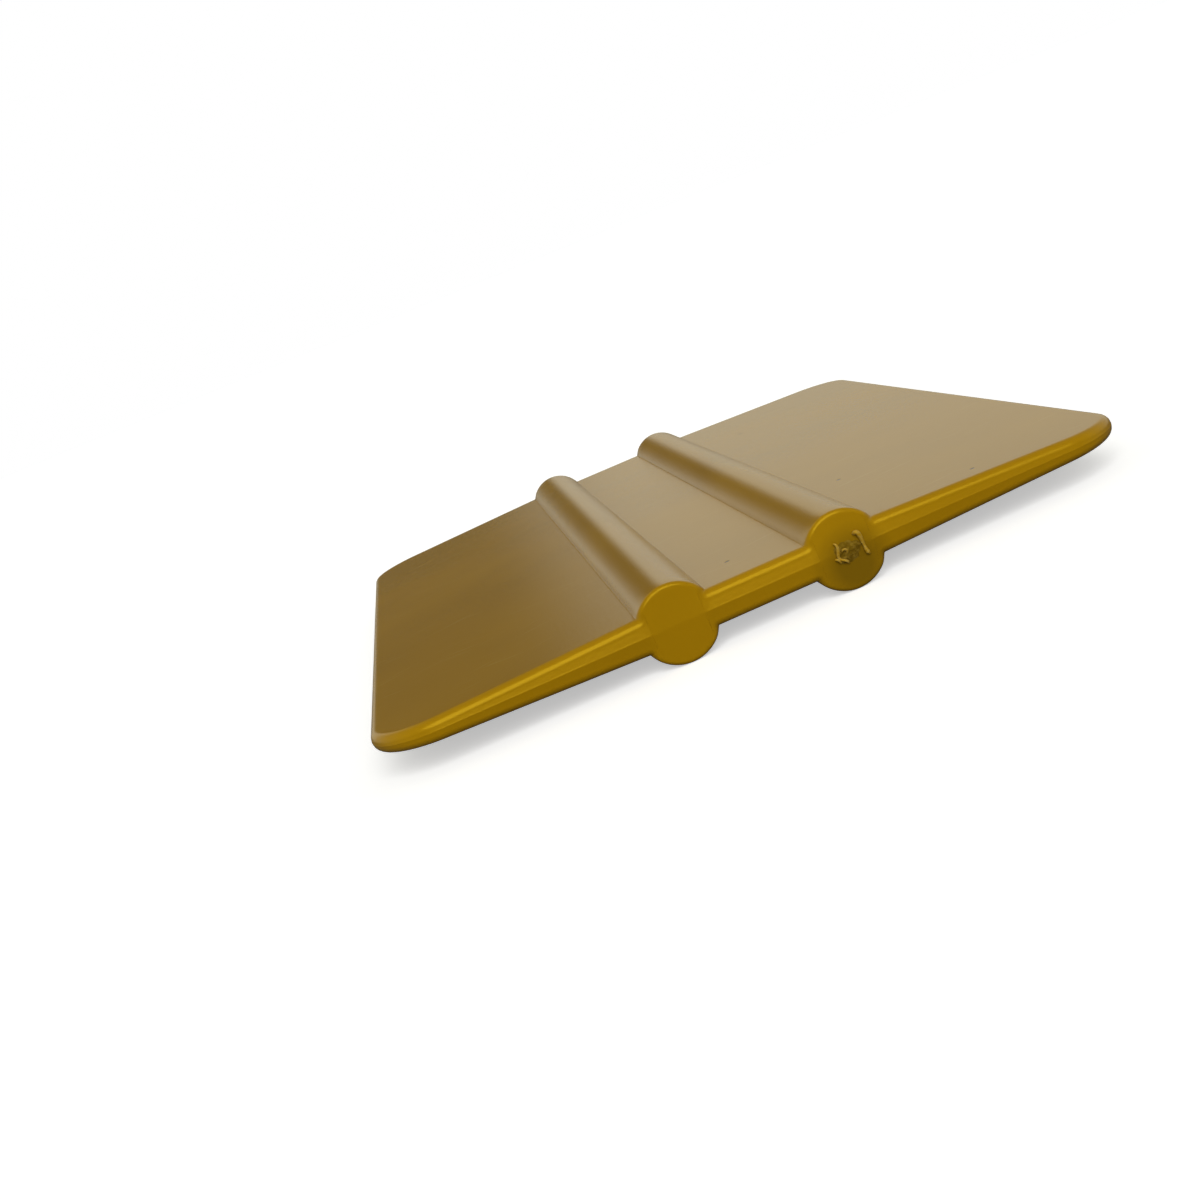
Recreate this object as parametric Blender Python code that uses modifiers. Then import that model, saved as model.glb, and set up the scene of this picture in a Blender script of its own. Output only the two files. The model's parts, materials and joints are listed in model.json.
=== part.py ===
"""Squeegee applicator: a hard plastic card for pressing film down, in metres, +Z up.

The card is one moulding. It is held here as three pieces, split where the plastic bends: a grip of two
round beads joined by a web, and a tapered blade on each side that turns about the centre line of its bead.
The origin is the middle of the card, on its mid-plane. X runs across it from edge to edge, and Y runs along
the beads.
"""

import math

import bmesh
import bpy
from mathutils import Matrix

# Driving dimensions.
CARD_WIDTH = 0.072  # across, from one working edge to the other
CARD_LENGTH = 0.100  # along the beads and the working edges
BEAD_DIAMETER = 0.0073
BEAD_SPACING = 0.0158  # between the beads' centre lines
WEB_THICKNESS = 0.0034  # also the blade's thickness where it meets its bead
EDGE_THICKNESS = 0.0017  # of the blade at its working edge
CORNER_RADIUS = 0.0062  # of the card's four corners, seen from above
RIM_ROUNDING = 0.0008  # of every outer edge
FLEX_GAP = 0.0003  # slit that lets a blade turn about its bead
MOST_ROUNDING = 0.48  # share of the working edge's thickness that one rounding may take

# How finely round shapes are divided.
BEAD_SIDES = 64
CORNER_STEPS = 10
RIM_STEPS = 4

# Allowances for cuts and for picking edges.
CUT_MARGIN = 0.002  # how much longer a cutter is than what it cuts
SAME_PLACE = 0.00001  # points nearer than this are one above the other
SMOOTH_ANGLE = math.radians(35)

GOLDEN_YELLOW = (0.47, 0.28, 0.012, 1.0)

bead_radius = BEAD_DIAMETER / 2
bead_centre = BEAD_SPACING / 2
blade_reach = CARD_WIDTH / 2 - bead_centre  # from the line on which the blade turns to its working edge


def clear_scene():
    for leftover in list(bpy.data.objects):
        bpy.data.objects.remove(leftover, do_unlink=True)


def new_collection(name):
    collection = bpy.data.collections.new(name)
    bpy.context.scene.collection.children.link(collection)
    return collection


def moulded_plastic(name):
    """The card's plastic: golden yellow, with a satin surface."""
    material = bpy.data.materials.new(name)
    material.use_nodes = True
    shader = material.node_tree.nodes["Principled BSDF"]
    shader.inputs["Base Color"].default_value = GOLDEN_YELLOW
    shader.inputs["Roughness"].default_value = 0.35
    shader.inputs["Metallic"].default_value = 0.0
    return material


def mesh_object(name, bm, collection):
    mesh = bpy.data.meshes.new(name)
    bm.to_mesh(mesh)
    bm.free()
    made = bpy.data.objects.new(name, mesh)
    collection.objects.link(made)
    return made


def cylinder_along_y(name, radius, length, collection):
    """A closed cylinder centred on its object's origin."""
    bm = bmesh.new()
    bmesh.ops.create_cone(
        bm,
        cap_ends=True,
        segments=BEAD_SIDES,
        radius1=radius,
        radius2=radius,
        depth=length,
        matrix=Matrix.Rotation(math.pi / 2, 4, "X"),
    )
    return mesh_object(name, bm, collection)


def add_rim_bevel(piece, width):
    """Rounds the sharp edges, and leaves the shallow angles of a round side as they are."""
    bevel = piece.modifiers.new("rim", "BEVEL")
    bevel.width = width
    bevel.segments = RIM_STEPS
    bevel.limit_method = "ANGLE"
    bevel.angle_limit = SMOOTH_ANGLE


def add_boolean(piece, other, operation):
    boolean = piece.modifiers.new(operation.lower(), "BOOLEAN")
    boolean.operation = operation
    boolean.solver = "EXACT"
    boolean.object = other


def hide_helper(helper):
    helper.hide_render = True
    helper.display_type = "WIRE"


def finish(piece, material):
    piece.data.materials.append(material)
    piece.data.shade_smooth()
    piece.data.set_sharp_from_angle(angle=SMOOTH_ANGLE)


def bead(name, x, collection):
    """One full-length round rib, with rounded ends."""
    rib = cylinder_along_y(name, bead_radius, CARD_LENGTH, collection)
    rib.location = (x, 0, 0)
    add_rim_bevel(rib, RIM_ROUNDING)
    return rib


def grip(collection, helpers):
    """The web and its two beads, joined into one solid. It starts as the web, a plate from bead to bead."""
    bm = bmesh.new()
    bmesh.ops.create_cube(bm, size=1)
    bmesh.ops.scale(bm, vec=(BEAD_SPACING, CARD_LENGTH, WEB_THICKNESS), verts=bm.verts)
    web = mesh_object("finger_grip", bm, collection)
    add_rim_bevel(web, RIM_ROUNDING)
    for name, x in (("left_bead_form", -bead_centre), ("right_bead_form", bead_centre)):
        rib = bead(name, x, helpers)
        hide_helper(rib)
        add_boolean(web, rib, "UNION")
    return web


def is_upright(edge):
    first, second = edge.verts
    return (first.co - second.co).to_2d().length < SAME_PLACE


def half_thickness(x):
    """Half the blade's thickness this far from its bead's centre line: an even taper, bead to edge."""
    share = (x - bead_radius) / (blade_reach - bead_radius)
    return (WEB_THICKNESS + share * (EDGE_THICKNESS - WEB_THICKNESS)) / 2


def blade_blank(name, collection):
    """A plate from the bead's centre line to the working edge, given its round corners and then its taper."""
    bm = bmesh.new()
    bmesh.ops.create_cube(bm, size=1)
    bmesh.ops.scale(bm, vec=(blade_reach, CARD_LENGTH, WEB_THICKNESS), verts=bm.verts)
    bmesh.ops.translate(bm, vec=(blade_reach / 2, 0, 0), verts=bm.verts)
    corners = [edge for edge in bm.edges if is_upright(edge) and edge.verts[0].co.x > blade_reach / 2]
    bmesh.ops.bevel(
        bm,
        geom=corners,
        offset=CORNER_RADIUS,
        offset_type="OFFSET",
        segments=CORNER_STEPS,
        profile=0.5,
        affect="EDGES",
    )
    for vert in bm.verts:
        vert.co.z = math.copysign(half_thickness(vert.co.x), vert.co.z)
    return mesh_object(name, bm, collection)


def blade(name, side, collection, helpers):
    """One blade on its side of the card, -1 left or 1 right, with its origin on its bead's centre line.

    Its root is a hollow round face, concentric with the bead, so it clears the bead at every angle. The
    rounding of its rim leaves a little of the thin working edge between the upper and the lower one.
    """
    piece = blade_blank(name, collection)
    if side < 0:
        piece.rotation_euler = (0, 0, math.pi)
    piece.location = (side * bead_centre, 0, 0)
    add_rim_bevel(piece, min(RIM_ROUNDING, MOST_ROUNDING * EDGE_THICKNESS))
    root_radius = bead_radius + FLEX_GAP
    root_cutter = cylinder_along_y(name + "_root_cutter", root_radius, CARD_LENGTH + CUT_MARGIN, helpers)
    root_cutter.location = piece.location
    hide_helper(root_cutter)
    add_boolean(piece, root_cutter, "DIFFERENCE")
    return piece


def main():
    clear_scene()
    card = new_collection("squeegee_applicator")
    helpers = new_collection("cutters")
    finish(grip(card, helpers), moulded_plastic("grip_plastic"))
    finish(blade("left_blade", -1, card, helpers), moulded_plastic("left_blade_plastic"))
    finish(blade("right_blade", 1, card, helpers), moulded_plastic("right_blade_plastic"))


main()
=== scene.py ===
import json
from math import atan2, cos, pi, radians, sin, sqrt, tan

import bmesh
import bpy
import numpy as np
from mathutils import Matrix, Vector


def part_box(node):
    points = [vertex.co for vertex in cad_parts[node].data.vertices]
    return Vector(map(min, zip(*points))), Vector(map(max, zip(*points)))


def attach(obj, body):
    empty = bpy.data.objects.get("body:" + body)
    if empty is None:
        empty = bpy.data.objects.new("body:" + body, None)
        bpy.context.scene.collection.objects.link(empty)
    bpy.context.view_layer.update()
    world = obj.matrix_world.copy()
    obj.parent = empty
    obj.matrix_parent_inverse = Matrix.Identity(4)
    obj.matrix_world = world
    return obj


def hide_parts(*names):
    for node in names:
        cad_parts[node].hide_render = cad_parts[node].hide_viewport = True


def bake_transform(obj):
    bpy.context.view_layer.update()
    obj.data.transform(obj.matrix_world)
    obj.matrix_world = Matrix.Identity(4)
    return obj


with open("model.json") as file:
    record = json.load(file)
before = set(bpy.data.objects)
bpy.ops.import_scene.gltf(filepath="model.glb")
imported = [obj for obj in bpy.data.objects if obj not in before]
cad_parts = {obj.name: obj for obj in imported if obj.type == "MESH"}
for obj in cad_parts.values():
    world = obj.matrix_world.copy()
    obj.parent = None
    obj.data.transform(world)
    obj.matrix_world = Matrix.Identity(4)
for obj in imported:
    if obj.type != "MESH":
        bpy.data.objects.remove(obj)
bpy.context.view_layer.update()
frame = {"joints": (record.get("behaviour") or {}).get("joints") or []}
scene = bpy.context.scene
scene.view_settings.view_transform = "Standard"


# ---- Camera ----
# It looks along the card from just above its near end, as when the card is held up to the eye to see
# whether its edges are straight, with the head tilted to one side.

camera = bpy.data.objects.new("camera", bpy.data.cameras.new("camera"))
camera.location = (-0.02048, -0.18987, 0.03294)
camera.rotation_euler = [radians(angle) for angle in (80.302, 21.981, -10.303)]
camera.data.lens = 50.83
camera.data.shift_x = -0.06
camera.data.shift_y = -0.09
camera.data.clip_start = 0.01
scene.collection.objects.link(camera)
scene.camera = camera


# ---- Room ----
# A white room, where the card lies on its two beads on a pale floor. Of the two broad soft lamps in front
# of its near end, only the first is mirrored in the plastic. The white walls give the upper faces their
# sheen, and the far one is dimmer behind the left blade, where a hand would hold the card.


class Value:
    """The number, colour or vector that a shader socket gives, for use in ordinary sums."""

    def __init__(self, shader, socket):
        self.shader = shader
        self.socket = socket

    def maths(self, operation, first, second):
        return self.shader.node("Math", {"operation": operation}, {0: first, 1: second})

    def __add__(self, other):
        return self.maths("ADD", self, other)

    def __sub__(self, other):
        return self.maths("SUBTRACT", self, other)

    def __rsub__(self, other):
        return self.maths("SUBTRACT", other, self)

    def __mul__(self, other):
        return self.maths("MULTIPLY", self, other)

    __radd__ = __add__
    __rmul__ = __mul__


class Shader:
    """The nodes of a new material, or of the world."""

    def __init__(self, owner):
        owner.use_nodes = True
        self.tree = owner.node_tree

    def fill(self, node, inputs):
        """Gives a node's sockets their numbers, colours or links."""
        for key, value in inputs.items():
            if isinstance(value, Value):
                self.tree.links.new(value.socket, node.inputs[key])
            else:
                node.inputs[key].default_value = value

    def node(self, kind, settings={}, inputs={}, output=0):
        """Adds a node of this kind, first with its settings and then its inputs. It gives one output."""
        node = self.tree.nodes.new("ShaderNode" + kind)
        for key, value in settings.items():
            setattr(node, key, value)
        self.fill(node, inputs)
        return Value(self, node.outputs[output])

    def range(self, value, low, high, to_low=0.0, to_high=1.0):
        """Carries low to to_low and high to to_high, in a straight line, and stops at both ends."""
        limits = {"Value": value, 1: low, 2: high, 3: to_low, 4: to_high}
        return self.node("MapRange", {}, limits)

    def mix(self, share, first, second):
        """The first colour where the share is 0, and the second where it is 1."""
        return self.node("Mix", {"data_type": "RGBA"}, {0: share, 6: first, 7: second}, 2)


floor_size = 60.0
floor_white = 0.86
floor_roughness = 0.9
floor_glow = 0.47  # makes the floor as pale as the wall behind it
floor_bounce = 0.10  # the white of the floor that lights the card from below

white = (1, 1, 1, 1)
cream = (1.0, 1.0, 0.88, 1)
room_light = 0.21
far_wall_light = 0.70
side_wall_light = 0.55
hand_shade = 0.06  # the far wall's light where it is dimmest

# A direction is a unit vector. Each pair holds the two values between which a wall or the shade comes in.
far_wall_ahead = (0.4, 0.85)
side_walls_aside = (0.35, 0.7)  # squared, so both sides are alike
shade_left = (-0.26, -0.17)
shade_right = (0.0, 0.08)
shade_above = (0.03, 0.08)

lamps = {"key_light": 1.45, "soft_fill": 0.9}
mirrored_lamp = "key_light"
lamp_spread = radians(46)
lamp_height = radians(33)
lamp_turn = radians(-3)

grip_low, grip_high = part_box("finger_grip")

bpy.ops.mesh.primitive_plane_add(size=floor_size, location=(0, 0, grip_low.z))
floor = bpy.context.object
floor.name = "floor"
floor.data.materials.append(bpy.data.materials.new("floor"))
floor_paint = Shader(floor.data.materials[0])
seen = floor_paint.node("LightPath")
floor_finish = {
    "Base Color": floor_bounce + (floor_white - floor_bounce) * seen,
    "Roughness": floor_roughness,
    "Emission Color": white,
    "Emission Strength": floor_glow * seen,
}
floor_paint.fill(floor_paint.tree.nodes["Principled BSDF"], floor_finish)

world = bpy.data.worlds.new("white_room")
scene.world = world
room = Shader(world)
seen = room.node("LightPath")
direction = room.node("TexCoord", {}, {}, "Generated")
across = room.node("SeparateXYZ", {}, {0: direction}, "X")
ahead = room.node("SeparateXYZ", {}, {0: direction}, "Y")
above = room.node("SeparateXYZ", {}, {0: direction}, "Z")
shaded = room.range(across, *shade_left) * room.range(across, *shade_right, 1.0, 0.0)
shaded = shaded * room.range(above, *shade_above)
far_wall = room.range(ahead, *far_wall_ahead)
side_walls = room.range(across * across, *side_walls_aside) * (1 - far_wall)
light = room_light + far_wall * (far_wall_light - room_light - (far_wall_light - hand_shade) * shaded)
light = light + side_walls * (side_wall_light - room_light)
tint = room.mix(seen, cream, white)
room.fill(room.tree.nodes["Background"], {"Color": tint, "Strength": light + (1 - light) * seen})

for name, energy in lamps.items():
    lamp = bpy.data.objects.new(name, bpy.data.lights.new(name, "SUN"))
    lamp.data.energy = energy
    lamp.data.angle = lamp_spread
    lamp.rotation_euler = (pi / 2 - lamp_height, 0, lamp_turn)
    lamp.visible_glossy = name == mirrored_lamp
    scene.collection.objects.link(lamp)


# ---- Finger grip ----
# The middle of the card: a flat web, pinched between thumb and fingers, and a round bead along each side
# of it. The whole card is one injection moulding of golden yellow plastic, so the grip and the two blades
# are shaped by the same section here and meet without a line.

joints = {joint["name"]: joint["pos_m"] for joint in frame["joints"]}
edge_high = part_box("right_blade")[1]

half_width = edge_high.x
half_length = grip_high.y
bead_centre = joints["right_flex"][0]
bead_radius = grip_high.z
web_half = 0.0017  # half the web's thickness, and half the blade's where it leaves its bead
edge_half = 0.00085  # half the blade's thickness at its working edge
rim_radius = 0.00082  # of the rounding between each face and the wall round the card's edge
bead_rim_radius = 0.0004  # the same at the beads' ends, which are crisper
bead_rise = 0.0009  # how far up a bead its rounding takes to get that small
foot_radius = 0.00012  # of the hollow where a bead rises out of a face
draft_step = 0.00015  # how far the wall leans out on its way from the rim to the mould's parting line
most_draft = radians(9.5)  # the lean of a wall too low for that
flash_height = 0.000016  # of the fine ridge that the mould's two halves leave on a wall as high as the web's
flash_share = 0.6  # the most of that height that any ridge has
flash_half = 0.00010  # half the ridge's thickness
seam = bead_centre + bead_radius + 0.0008  # where the grip stops and a blade starts, on the flat
taper = atan2(edge_half - web_half, half_width - bead_centre - bead_radius)

web_points = 12
foot_points = 8
bead_points = 44
seam_points = 4  # from a bead's foot to the seam
rim_points = 9
length_points = 49
# Rows of points up the wall, as shares of its height. They are closer together at the ridge.
wall_rows = np.concatenate([np.linspace(0, 0.3, 5), np.linspace(0.3, 0.9, 4)[1:]])
crease = radians(50)  # faces that meet more sharply than this are shaded apart
same_place = 1e-7  # points nearer than this are one


def turned(angle):
    """A unit vector across the card at this angle from +X, turning towards +Z."""
    return np.stack([np.cos(angle), np.sin(angle)], axis=-1)


def foot(slope, side):
    """The middle of the hollow where a flat face of this slope meets the bead, on its side -1 or 1.

    It is one foot radius above the face, and one bead radius and one foot radius from the bead's middle.
    """
    rise = web_half * cos(slope) - side * bead_radius * sin(slope) + foot_radius
    along = sqrt((bead_radius + foot_radius) ** 2 - rise**2)
    away = np.array([cos(slope), sin(slope)]) * side * along
    up = np.array([-sin(slope), cos(slope)]) * rise
    return away + up


def round_stretch(middle, radius, first, last, points, hollow):
    """An arc of the section, as places and outward directions. A hollow arc's directions point inwards.

    Its places are the middle plus the radius times a unit vector, which turns evenly from first to last.
    """
    facing = turned(np.linspace(first, last, points))
    return np.array([bead_centre, 0]) + middle + radius * facing, -facing if hollow else facing


def blade_half(x):
    """Half the blade's thickness here: it thins evenly from its bead to its working edge."""
    return web_half + (x - bead_centre - bead_radius) * tan(taper)


def grip_section():
    """Half the grip's upper outline, from the middle of the web to the seam, as places and directions.

    It runs flat along the web, up a hollow, over the bead, down a hollow, and on to the blade's taper.
    """
    inner = foot(0, -1)
    outer = foot(taper, 1)
    up = pi / 2
    inner_angle = atan2(inner[1], inner[0])
    outer_angle = atan2(outer[1], outer[0])
    web_x = np.linspace(0, bead_centre + inner[0], web_points)
    web = np.stack([web_x, np.full_like(web_x, web_half)], axis=-1)
    blade_x = np.linspace(bead_centre + outer[0] + foot_radius * sin(taper), seam, seam_points)
    blade_root = np.stack([blade_x, blade_half(blade_x)], axis=-1)
    stretches = [
        (web, np.tile(turned(up), (len(web), 1))),
        round_stretch(inner, foot_radius, -up, inner_angle - pi, foot_points, True),
        round_stretch(np.zeros(2), bead_radius, inner_angle, outer_angle, bead_points, False),
        round_stretch(outer, foot_radius, outer_angle + pi, taper + 3 * up, foot_points, True),
        (blade_root, np.tile(turned(up + taper), (len(blade_root), 1))),
    ]
    places = [stretches[0][0]] + [places[1:] for places, directions in stretches[1:]]
    directions = [stretches[0][1]] + [directions[1:] for places, directions in stretches[1:]]
    return np.concatenate(places), np.concatenate(directions)


def draft(height):
    """The lean of the wall below a rim at this height above the parting line.

    It is the angle whose tangent is the draft's step divided by the height, and at most the most draft.
    """
    return np.minimum(most_draft, np.arctan2(draft_step, height))


def rounding(height):
    """The rim's radius where the face is this high: it eases from the plate's to the bead's.

    The share of the way is three times its square less twice its cube, so it starts and stops gently.
    """
    share = np.clip((height - web_half) / bead_rise, 0, 1)
    return rim_radius + (bead_rim_radius - rim_radius) * share**2 * (3 - 2 * share)


def wall_and_rim(core, facing, outward, radius):
    """The edge of the upper half, from the parting line up the wall and over the rim to the face.

    The rim is an arc about the core, a line one rim radius inside both faces. It turns from the wall's
    outward direction, which leans up by the draft, to the face's own direction. Below it the wall runs
    straight down to the middle of the card, and comes out by the draft. The flash is a low rounded ridge
    on the last of it, and is lower on a low wall. One row of points is given for each core point.
    """
    lean = draft(core[:, 2:])
    leaning = np.concatenate([outward * np.cos(lean), np.sin(lean)], axis=-1)
    turn = np.arccos((leaning * facing).sum(-1))[:, None, None]
    share = np.linspace(0, 1, rim_points)[None, :, None]
    arc = np.sin((1 - share) * turn) * leaning[:, None] + np.sin(share * turn) * facing[:, None]
    rim = core[:, None] + radius[:, None, None] * arc / np.sin(turn)
    foot_of_rim = rim[:, 0]
    top = foot_of_rim[:, 2:]
    height = wall_rows[None, :] * top
    out = (top - height) * np.tan(lean)
    ridge = np.clip(1 - (height / flash_half) ** 2, 0, 1) ** 2
    out = out + flash_height * (ridge - 1) * np.clip(top / web_half, 0, flash_share)
    plan = foot_of_rim[:, None, :2] + out[..., None] * outward[:, None]
    wall = np.concatenate([plan, height[..., None]], axis=-1)
    return np.concatenate([wall, rim], axis=1)


def grid_faces(rows, columns, first):
    """The four-sided faces of a grid of points numbered from first, row by row."""
    corner = first + np.arange(rows - 1)[:, None] * columns + np.arange(columns - 1)[None, :]
    return np.stack([corner, corner + columns, corner + columns + 1, corner + 1], axis=-1).reshape(-1, 4)


def closed_piece(name, patches, material):
    """One closed mesh from grids of points that share their borders."""
    first = 0
    faces = []
    for patch in patches:
        faces.append(grid_faces(patch.shape[0], patch.shape[1], first))
        first += patch.shape[0] * patch.shape[1]
    points = np.concatenate([patch.reshape(-1, 3) for patch in patches])
    mesh = bpy.data.meshes.new(name)
    mesh.from_pydata(points.tolist(), [], np.concatenate(faces).tolist())
    bm = bmesh.new()
    bm.from_mesh(mesh)
    bmesh.ops.remove_doubles(bm, verts=bm.verts, dist=same_place)
    bmesh.ops.dissolve_degenerate(bm, edges=bm.edges, dist=same_place / 10)
    bmesh.ops.recalc_face_normals(bm, faces=bm.faces)
    bm.to_mesh(mesh)
    bm.free()
    mesh.materials.append(material)
    mesh.shade_smooth()
    mesh.set_sharp_from_angle(angle=crease)
    piece = bpy.data.objects.new(name, mesh)
    scene.collection.objects.link(piece)
    weighted = piece.modifiers.new("even_shading", "WEIGHTED_NORMAL")
    weighted.keep_sharp = True
    return piece


def moulded(name, core, facing, outward, radius, nosed, material):
    """A stretch of the card, from the core points under its upper face, for the near half of its length.

    The upper face runs straight from the near end to the far end, one rim radius above the core. The near
    end's wall is mirrored to the far end, and the upper half to the lower half. The last row is closed by
    the working edge if it is nosed, and any other by a flat cut.
    """
    near = wall_and_rim(core, facing, outward, radius)
    far = near * np.array([1, -1, 1])
    share = np.linspace(0, 1, length_points)[None, :, None]
    face = near[:, -1:] * (1 - share) + far[:, -1:] * share
    upper = [near, face, far]
    if nosed:
        edge = np.repeat(core[-1:], length_points, axis=0)
        edge[:, 1] = np.linspace(core[-1, 1], -core[-1, 1], length_points)
        last = [np.repeat(ends[-1:], length_points, axis=0) for ends in (facing, outward, radius)]
        upper.append(wall_and_rim(edge, *last))
    mirror = np.array([1, 1, -1])
    cuts = []
    for row in (0,) if nosed else (0, -1):
        ring = np.concatenate([near[row, :-1], face[row, :-1], far[row, ::-1]])
        cuts.append(np.stack([ring, ring * mirror]))
    return closed_piece(name, upper + [patch * mirror for patch in upper] + cuts, material)


def core_under(places, directions):
    """Core points for a face with this outline: one rim radius in from it, and from the drafted wall."""
    radius = rounding(places[:, 1])
    inside = places - radius[:, None] * directions
    lean = draft(inside[:, 1])
    inset = radius / np.cos(lean) + inside[:, 1] * np.tan(lean)
    return inside, inset, radius


deep_gold = (0.32, 0.164, 0.0020, 1)
gold = (0.41, 0.216, 0.0033, 1)
scorched_gold = (0.165, 0.090, 0.0035, 1)
scuff_and_highlight_gold = (0.46, 0.30, 0.05, 1)
dust_brown = (0.06, 0.035, 0.008, 1)
gloss_tint = (1.0, 0.70, 0.04, 1)  # of what the plastic mirrors, seen straight on
refraction = 1.68
skin_depth = 0.00004
skin_strength = 0.30
swell_depth = 0.00008
swell_strength = 0.45
gate_middle = (0.00798, -half_length, -0.0001)
scorch_middle = (0.0082, -half_length, -0.0016)
scorch_reach = (0.0014, 0.0040)  # from its middle to where it starts to fade, and to where it ends
pale_edge_width = 0.0012  # of the band painted paler along each working edge, partly as rubbing wear and partly as a painted highlight
scuff_stretch = 50  # a scuff's length as a multiple of its width
scuff_turns = (14, -21)  # degrees from straight across the card
speck_radius = 0.00028
speck_depth = 0.00003
specks = [(-0.0011, -0.0424), (0.0143, -0.0275), (0.0165, 0.0297), (0.0219, -0.0463)]


def golden_plastic():
    """Golden yellow plastic, lightly glossy, with a fine moulded skin and the marks of making and use.

    The colour drifts a little where the plastic flowed, and is browner round the gate, where it was
    hottest. Scuffs are the highest values of a noise that is stretched along one line, so they are short
    straight hairlines, and only the flat faces have them. The working edges are painted a little paler,
    partly as rubbing wear and partly as a painted highlight.
    Specks of dust have sunk into the face. The skin's grain and a slight swell are bumps.
    """
    material = bpy.data.materials.new("golden_plastic")
    shader = Shader(material)
    place = shader.node("TexCoord", {}, {}, "Object")

    def noise(scale, detail, stretch=1.0, turn=0.0):
        turning = {"Vector": place, "Scale": (stretch, 1, 1), "Rotation": (0, 0, radians(turn))}
        spot = shader.node("Mapping", {"vector_type": "TEXTURE"}, turning)
        return shader.node("TexNoise", {}, {"Vector": spot, "Scale": scale, "Detail": detail})

    def near(point, inner, outer):
        distance = shader.node("VectorMath", {"operation": "DISTANCE"}, {0: place, 1: point}, "Value")
        return shader.range(distance, inner, outer, 1.0, 0.0)

    flow = noise(scale=34.0, detail=2.0)
    skin = noise(scale=2600.0, detail=2.0)
    swell = noise(scale=60.0, detail=1.0)
    pale_edge_noise = noise(scale=900.0, detail=2.0)

    normal = shader.node("NewGeometry", {}, {}, "Normal")
    level = shader.node("SeparateXYZ", {}, {0: normal}, "Z")
    flat = shader.range(level * level, 0.90, 0.98)
    one_way, other_way = [noise(3800.0, 0.0, scuff_stretch, turn) for turn in scuff_turns]
    scuffs = flat * (shader.range(one_way, 0.76, 0.88) + shader.range(other_way, 0.78, 0.90))

    # A band along each working edge is painted paler: partly rubbing wear, partly a painted highlight.
    x_place = shader.node("SeparateXYZ", {}, {0: place}, "X")
    edge = shader.range(x_place * x_place, (half_width - pale_edge_width) ** 2, half_width**2)
    edge_wear_and_highlight = edge * shader.range(pale_edge_noise, 0.35, 0.65, to_low=0.2)

    dirt = near((*specks[0], web_half), speck_radius / 2, speck_radius)
    for x, y in specks[1:]:
        dirt = dirt + near((x, y, blade_half(x)), speck_radius / 2, speck_radius)

    heat = near(scorch_middle, *scorch_reach)
    colour = shader.mix(shader.range(flow, 0.15, 0.85), deep_gold, gold)
    colour = shader.mix(heat * 0.85, colour, scorched_gold)
    # The scuffs and the painted edge highlight share one pale gold.
    colour = shader.mix(scuffs * 0.45 + edge_wear_and_highlight * 0.35, colour, scuff_and_highlight_gold)
    colour = shader.mix(dirt, colour, dust_brown)

    skin_bump = {"Height": skin, "Strength": skin_strength, "Distance": skin_depth}
    grained = shader.node("Bump", {}, skin_bump)
    swell_bump = {"Height": swell, "Strength": swell_strength, "Distance": swell_depth, "Normal": grained}
    swollen = shader.node("Bump", {}, swell_bump)
    speck_bump = {"Height": dirt, "Distance": speck_depth, "Normal": swollen}
    pitted = shader.node("Bump", {"invert": True}, speck_bump)
    finish = {
        "Base Color": colour,
        "Roughness": 0.235 + 0.03 * flow,
        "IOR": refraction,
        "Specular Tint": gloss_tint,
        "Normal": pitted,
    }
    shader.fill(shader.tree.nodes["Principled BSDF"], finish)
    return material


plastic = golden_plastic()

places, directions = grip_section()
places = np.concatenate([places[:0:-1] * [-1, 1], places])
directions = np.concatenate([directions[:0:-1] * [-1, 1], directions])
inside, inset, radius = core_under(places, directions)
core = np.stack([inside[:, 0], inset - half_length, inside[:, 1]], axis=-1)
facing = np.stack([directions[:, 0], 0 * inset, directions[:, 1]], axis=-1)
outward = np.stack([0 * inset, 0 * inset - 1], axis=-1)
grip = moulded("grip_moulding", core, facing, outward, radius, False, plastic)
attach(grip, "grip")
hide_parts("finger_grip")


# ---- Gate scar ----
# The stub left on the near end of the right bead, where the plastic ran into the mould and was later
# twisted off. It is a low torn patch, browned by the heat. Two pale curls and two short threads of plastic
# were pulled out of it and lie against the bead's end.

scar_width = 0.0014  # half, across the card
scar_height = 0.0010  # half
scar_rise = 0.00012
scar_root = 0.0004  # how far it goes into the bead
scar_sink = 0.00007  # how far its ragged outline lies under the bead's face
scar_raggedness = 0.16  # of its outline, as a share of its reach
scar_hills = 0.8  # as a share of its rise
scar_round_points = 61
scar_out_points = 25
scar_deep_points = 5
curl_radius = 0.00015
curl_rise = 0.00008  # how far a curl's route lies off the bead's face
curl_points = 40
curl_sides = 10
millimetre = 0.001

torn_brown = (0.125, 0.068, 0.0035, 1)
torn_tan = (0.23, 0.14, 0.018, 1)
pale_gold = (0.44, 0.29, 0.060, 1)


def torn_finish(name, tears, limits, colours, depth, roughness):
    """Dull torn plastic: a fine noise gives its bump, and carries it from the first colour to the second."""
    material = bpy.data.materials.new(name)
    shader = Shader(material)
    place = shader.node("TexCoord", {}, {}, "Object")
    tears = shader.node("TexNoise", {}, {"Vector": place, **tears})
    finish = {
        "Base Color": shader.mix(shader.range(tears, *limits), *colours),
        "Roughness": roughness,
        "Specular Tint": gloss_tint,
        "Normal": shader.node("Bump", {}, {"Distance": depth, "Height": tears}),
    }
    shader.fill(shader.tree.nodes["Principled BSDF"], finish)
    return material


def ragged(angle, distance):
    """The scar's torn outline and hills, between -1 and 1.

    It is the sum of three sine waves, with 3, 5 and 11 to the round. The last two twist with distance.
    """
    waves = np.sin(3 * angle + 0.7)
    waves = waves + 0.7 * np.sin(5 * angle + 9 * distance)
    waves = waves + 0.5 * np.sin(11 * angle - 14 * distance)
    return waves / 2.2


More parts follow.
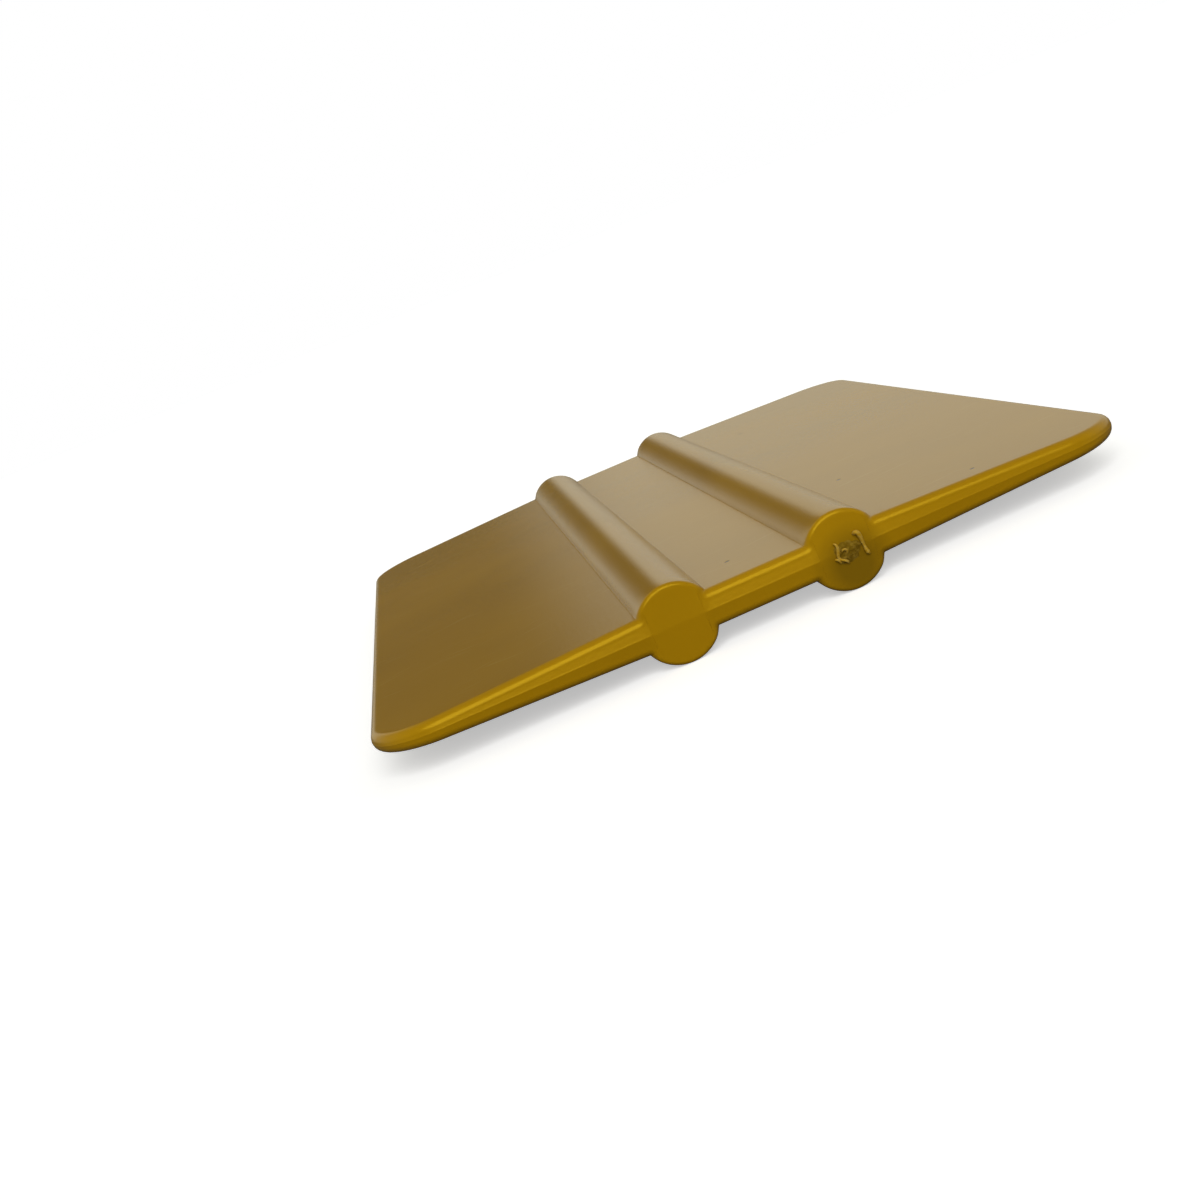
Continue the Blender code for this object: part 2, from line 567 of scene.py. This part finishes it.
def scar_patch():
    """The scar's front: rings about its middle, out to a ragged oval. It is highest in the middle.

    Its rise falls with the square of the distance, and swells and dips with the ragged waves.
    """
    around = np.linspace(0, 2 * pi, scar_round_points)
    angle, distance = np.meshgrid(around, np.linspace(0, 1, scar_out_points), indexing="ij")
    reach = distance * (1 + scar_raggedness * ragged(angle, 0 * distance))
    rise = scar_rise * (1 - distance**2) * (1 + scar_hills * distance * ragged(angle, distance))
    x = gate_middle[0] + scar_width * reach * np.cos(angle)
    z = gate_middle[2] + scar_height * reach * np.sin(angle)
    return np.stack([x, -half_length + scar_sink * distance**2 - rise, z], axis=-1)


def curl(route, thick):
    """A tube along a smooth curve through the route's points, round and tapered, and closed at both ends.

    The curve is the one polynomial that passes through every point. The tube's radius swells and shrinks
    along it by the share in thick, and falls to nothing at its ends as a blunt tip does.
    """
    route = np.array(route)
    knots = np.linspace(0, 1, len(route))
    along = (1 - np.cos(np.linspace(0, pi, curl_points))) / 2
    fitted = [np.polyfit(knots, axis, len(route) - 1) for axis in route.T]
    middle = np.stack([np.polyval(powers, along) for powers in fitted], axis=-1)
    ahead = np.gradient(middle, axis=0)
    ahead /= np.linalg.norm(ahead, axis=-1, keepdims=True)
    across = np.cross(ahead, (0, 1, 0))
    across /= np.linalg.norm(across, axis=-1, keepdims=True)
    over = np.cross(across, ahead)
    radius = curl_radius * np.sqrt(np.clip(1 - (2 * along - 1) ** 8, 0, 1)) * np.interp(along, *thick)
    around = np.linspace(0, 2 * pi, curl_sides + 1)[None, :, None]
    ring = np.cos(around) * across[:, None] + np.sin(around) * over[:, None]
    return middle[:, None] + radius[:, None, None] * ring


torn_plastic = torn_finish(
    "torn_plastic",
    tears={"Scale": 2200.0, "Detail": 4.0, "Roughness": 0.7},
    limits=(0.45, 0.66),
    colours=(torn_brown, torn_tan),
    depth=0.00008,
    roughness=0.6,
)
curl_plastic = torn_finish(
    "curl_plastic",
    tears={"Scale": 4000.0, "Detail": 2.0},
    limits=(0.3, 0.7),
    colours=(gold, pale_gold),
    depth=0.00003,
    roughness=0.45,
)

front = scar_patch()
deep_share = np.linspace(0, 1, scar_deep_points)[None, :, None]
back = front[:, ::-1].copy()
back[..., 1] = -half_length + scar_root
flank = front[:, -1:] * (1 - deep_share) + back[:, :1] * deep_share
scar = closed_piece("gate_scar", [front, flank, back], torn_plastic)
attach(scar, "grip")

# Each has the points of its route in millimetres, across, out of the bead's face and up. Then come places
# along it, as shares of its length, and how thick it is there.
curls = {
    "left_gate_curl": (
        [
            (6.90, 0.00, 1.05),
            (7.12, 0.12, 0.30),
            (7.00, 0.00, -0.35),
            (7.35, 0.10, -0.70),
            (7.60, -0.20, -1.20),
        ],
        ((0, 0.3, 0.7, 1), (0.7, 1.1, 0.8, 1.0)),
    ),
    "right_gate_curl": (
        [
            (8.85, -0.10, 1.05),
            (9.30, 0.16, 1.00),
            (9.42, 0.10, 0.20),
            (9.50, 0.06, -0.60),
            (9.72, -0.10, -1.05),
        ],
        ((0, 0.3, 0.6, 0.85, 1), (1.6, 1.4, 0.8, 1.3, 1.2)),
    ),
    "loose_gate_thread": (
        [(6.62, 0.02, -0.38), (6.86, 0.10, -0.50), (7.02, 0.04, -0.86)],
        ((0, 0.5, 1), (0.6, 0.8, 0.5)),
    ),
    "short_gate_thread": (
        [(7.42, 0.04, 0.02), (7.62, 0.16, 0.22), (7.86, 0.10, 0.06), (7.80, 0.02, -0.22)],
        ((0, 0.5, 1), (0.5, 0.7, 0.6)),
    ),
}
for name, (route, thick) in curls.items():
    points = [
        (x * millimetre, -half_length - curl_rise - out * millimetre, z * millimetre) for x, out, z in route
    ]
    piece = closed_piece(name, [curl(points, thick)], curl_plastic)
    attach(piece, "grip")


# ---- Blades ----
# The springy plates on both sides, moulded with the grip. Each thins towards its long working edge, which
# is rounded so that it doesn't scratch the film, and its two outer corners are round. On the real card a
# blade bends along its whole width when its edge is pressed down, but here each is built straight.

corner_radius = 0.0062
blade_points = 56
corner_points = 17


def blade(name, side):
    """One blade, on side -1 or 1. Its core is straight from the seam to where its corners start.

    Then it follows a quarter circle round the near corner, and drops with the taper all the way.
    """
    x = np.linspace(seam, half_width - corner_radius, blade_points)
    up = turned(np.array([pi / 2 + taper]))
    inside, inset, radius = core_under(np.stack([x, blade_half(x)], axis=-1), up)
    straight = np.stack([inside[:, 0], inset - half_length, inside[:, 1]], axis=-1)
    turn = np.linspace(0, pi / 2, corner_points)[1:]
    reach = corner_radius - inset[-1]
    x = half_width - corner_radius + rim_radius * sin(taper) + reach * np.sin(turn)
    y = corner_radius - half_length - reach * np.cos(turn)
    z = inside[-1, 1] + (x - inside[-1, 0]) * tan(taper)
    core = np.concatenate([straight, np.stack([x, y, z], axis=-1)])
    facing = np.tile([up[0, 0], 0, up[0, 1]], (len(core), 1))
    rounded_out = np.stack([np.sin(turn), -np.cos(turn)], axis=-1)
    outward = np.concatenate([np.tile([0.0, -1.0], (len(straight), 1)), rounded_out])
    radius = np.full(len(core), radius[-1])
    flip = np.array([side, 1, 1])
    return moulded(name, core * flip, facing * flip, outward * flip[:2], radius, True, plastic)


for side, name in ((-1, "left"), (1, "right")):
    piece = blade(name + "_blade_moulding", side)
    side * seam
    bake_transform(piece)
    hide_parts(name + "_blade")
